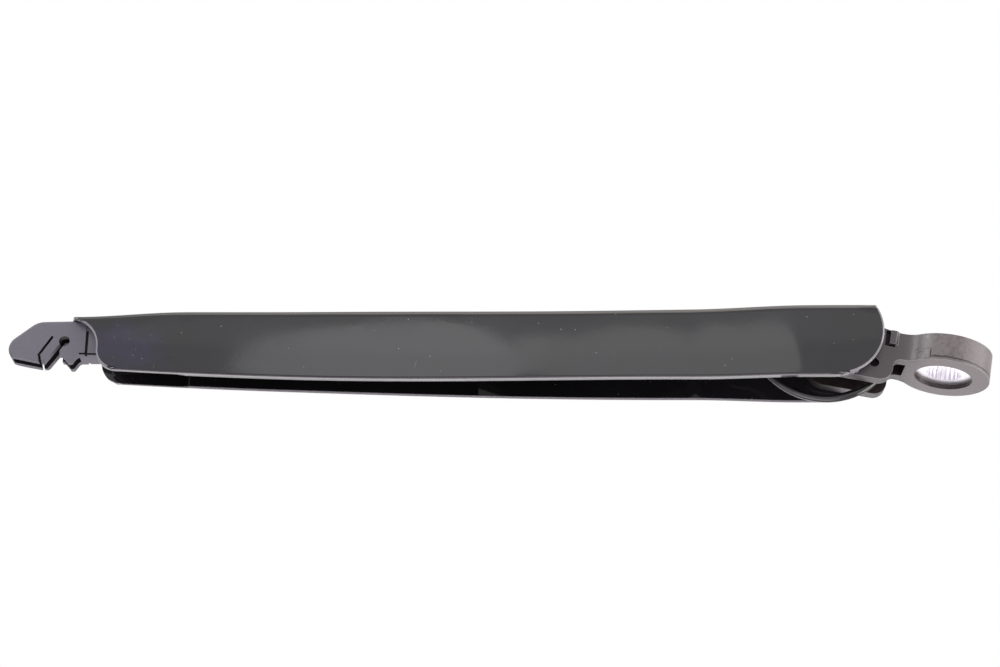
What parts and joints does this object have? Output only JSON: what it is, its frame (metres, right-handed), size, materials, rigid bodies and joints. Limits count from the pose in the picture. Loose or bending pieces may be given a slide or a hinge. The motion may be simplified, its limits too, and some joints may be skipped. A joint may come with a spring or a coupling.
{
  "type": "wiper arm",
  "caption": "Rear wiper arm: a sprung channel arm hinged to a cast mounting head with a splined bore, with a snap-in clip for the blade's cross pin.",
  "frame": {"origin": "on the drive spindle's axis, at the lower mouth of the splined bore", "axes": "+Z along the spindle, away from the glass; the arm runs towards -X; +Y along the hinge pin"},
  "size_m": [0.2934, 0.0276, 0.064],
  "materials": {
    "cast_head": "satin coated casting",
    "bare_steel": "machined",
    "bearing_bush": "plain",
    "steel_pin": "ground",
    "black_moulding": "gloss black",
    "clip_moulding": "matt purple-grey",
    "coated_wire": "black coated wire",
    "spring_wire": "dark oiled spring wire"
  },
  "bodies": {
    "head": {"mounting_head": "cast_head", "spline_bush": "bare_steel", "hinge_bush_near": "bearing_bush", "hinge_bush_far": "bearing_bush", "spring_pin": "steel_pin"},
    "arm": {"arm_body": "black_moulding", "blade_clip": "clip_moulding", "hinge_pin": "steel_pin", "anchor_pin": "steel_pin"},
    "hook": {"spring_hook": "coated_wire"},
    "spring": {"tension_spring": "spring_wire"}
  },
  "joints": [
    {"name": "arm_hinge", "type": "hinge", "parent": "head", "child": "arm", "pos_m": [-0.0284, 0, 0.00125], "axis": [0, 1, 0], "range_deg": [0, 60], "stiffness_Nm_per_rad": 0.2, "springref_deg": -22.92, "deforming": ["tension_spring"]},
    {"name": "hook_swing", "type": "hinge", "parent": "head", "child": "hook", "pos_m": [-0.02192, 0, -0.00381], "axis": [0, 1, 0], "range_deg": [0, 57]},
    {"name": "spring_swing", "type": "hinge", "parent": "arm", "child": "spring", "pos_m": [-0.14877, 0, -0.01889], "axis": [0, 1, 0], "range_deg": [-4, 0]}
  ],
  "couplings": [
    {"joint": "hook_swing", "follows": "arm_hinge", "ratio": 0.9416},
    {"joint": "spring_swing", "follows": "arm_hinge", "ratio": -0.0584}
  ]
}
